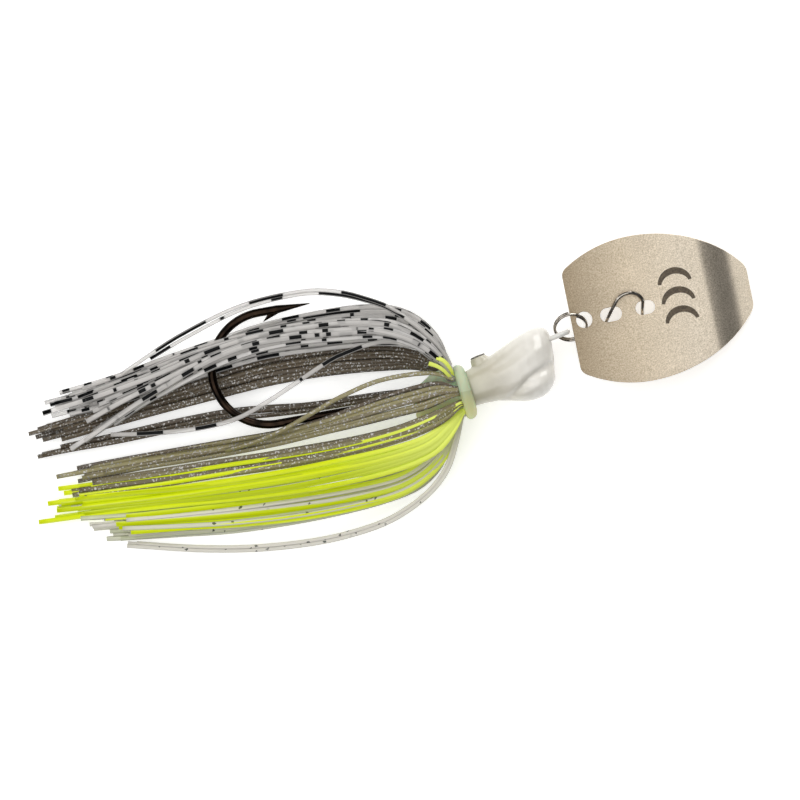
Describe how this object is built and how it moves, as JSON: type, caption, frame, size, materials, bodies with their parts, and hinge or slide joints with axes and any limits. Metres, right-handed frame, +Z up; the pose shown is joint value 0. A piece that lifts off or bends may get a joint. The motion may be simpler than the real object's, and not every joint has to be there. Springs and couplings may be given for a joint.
{
  "type": "bladed jig",
  "caption": "Skirted bladed fishing jig: painted lead head on one hook, split ring, bent steel blade, line snap and a silicone strand skirt held by a collar.",
  "frame": {"origin": "middle of the whole lure's box, on the surface it lies on", "axes": "+X along the hook shank towards the blade, +Y towards the hook point, +Z up from the surface"},
  "size_m": [0.1402, 0.0486, 0.0125],
  "materials": {
    "pearl_paint": "pearl white enamel over cast lead",
    "black_nickel": "black nickel plating on hook steel",
    "bright_nickel": "bright nickel wire",
    "satin_stainless": "bead blasted stainless sheet",
    "collar_silicone": "moulded translucent silicone",
    "barred_silicone": "clear silicone strands printed with black bars",
    "smoke_silicone": "smoke silicone strands with silver flake",
    "chartreuse_silicone": "chartreuse silicone strands",
    "pearl_silicone": "translucent pearl silicone strands"
  },
  "bodies": {
    "head": {"jig_head": "pearl_paint", "head_eye": "pearl_paint", "hook": "black_nickel", "skirt_collar": "collar_silicone", "skirt_smoke_middle": "smoke_silicone", "skirt_smoke_side": "smoke_silicone", "strand_smoke_cross": "smoke_silicone", "strand_barred_cross": "barred_silicone"},
    "ring": {"split_ring": "bright_nickel"},
    "blade": {"blade": "satin_stainless"},
    "snap": {"snap_body": "bright_nickel"},
    "latch": {"snap_latch": "bright_nickel"},
    "skirt_back": {"skirt_barred_back": "barred_silicone", "skirt_barred_over": "barred_silicone", "skirt_smoke_back": "smoke_silicone", "strand_barred_high": "barred_silicone"},
    "skirt_belly": {"skirt_smoke_belly": "smoke_silicone", "skirt_chartreuse_top": "chartreuse_silicone", "skirt_chartreuse_low": "chartreuse_silicone", "skirt_pearl_belly": "pearl_silicone", "skirt_pearl_keel": "pearl_silicone"}
  },
  "joints": [
    {"name": "ring_swing", "type": "hinge", "parent": "head", "child": "ring", "pos_m": [0.03209, 0.0069, 0.0055], "axis": [-0.1908, 0.9816, 0], "range_deg": [-35, 40]},
    {"name": "blade_turn", "type": "hinge", "parent": "ring", "child": "blade", "pos_m": [0.03758, 0.00876, 0.00705], "axis": [0, 0, 1], "range_deg": [-24, 18]},
    {"name": "snap_swing", "type": "hinge", "parent": "blade", "child": "snap", "pos_m": [0.03746, 0.00895, 0.0071], "axis": [0.999, 0.0209, -0.0401], "range_deg": [-4, 110]},
    {"name": "snap_latch", "type": "hinge", "parent": "snap", "child": "latch", "pos_m": [0.0474, 0.00257, 0.002], "axis": [-0.0448, 0.5799, -0.8135], "range_deg": [0, 25], "stiffness_Nm_per_rad": 0.001},
    {"name": "skirt_back_flare", "type": "hinge", "parent": "head", "child": "skirt_back", "pos_m": [0.01119, 0.00367, 0.0055], "axis": [0, 0, -1], "range_deg": [0, 12], "stiffness_Nm_per_rad": 0.0002},
    {"name": "skirt_belly_flare", "type": "hinge", "parent": "head", "child": "skirt_belly", "pos_m": [0.01119, -0.00462, 0.0055], "axis": [0, 0, 1], "range_deg": [0, 14], "stiffness_Nm_per_rad": 0.0002}
  ]
}
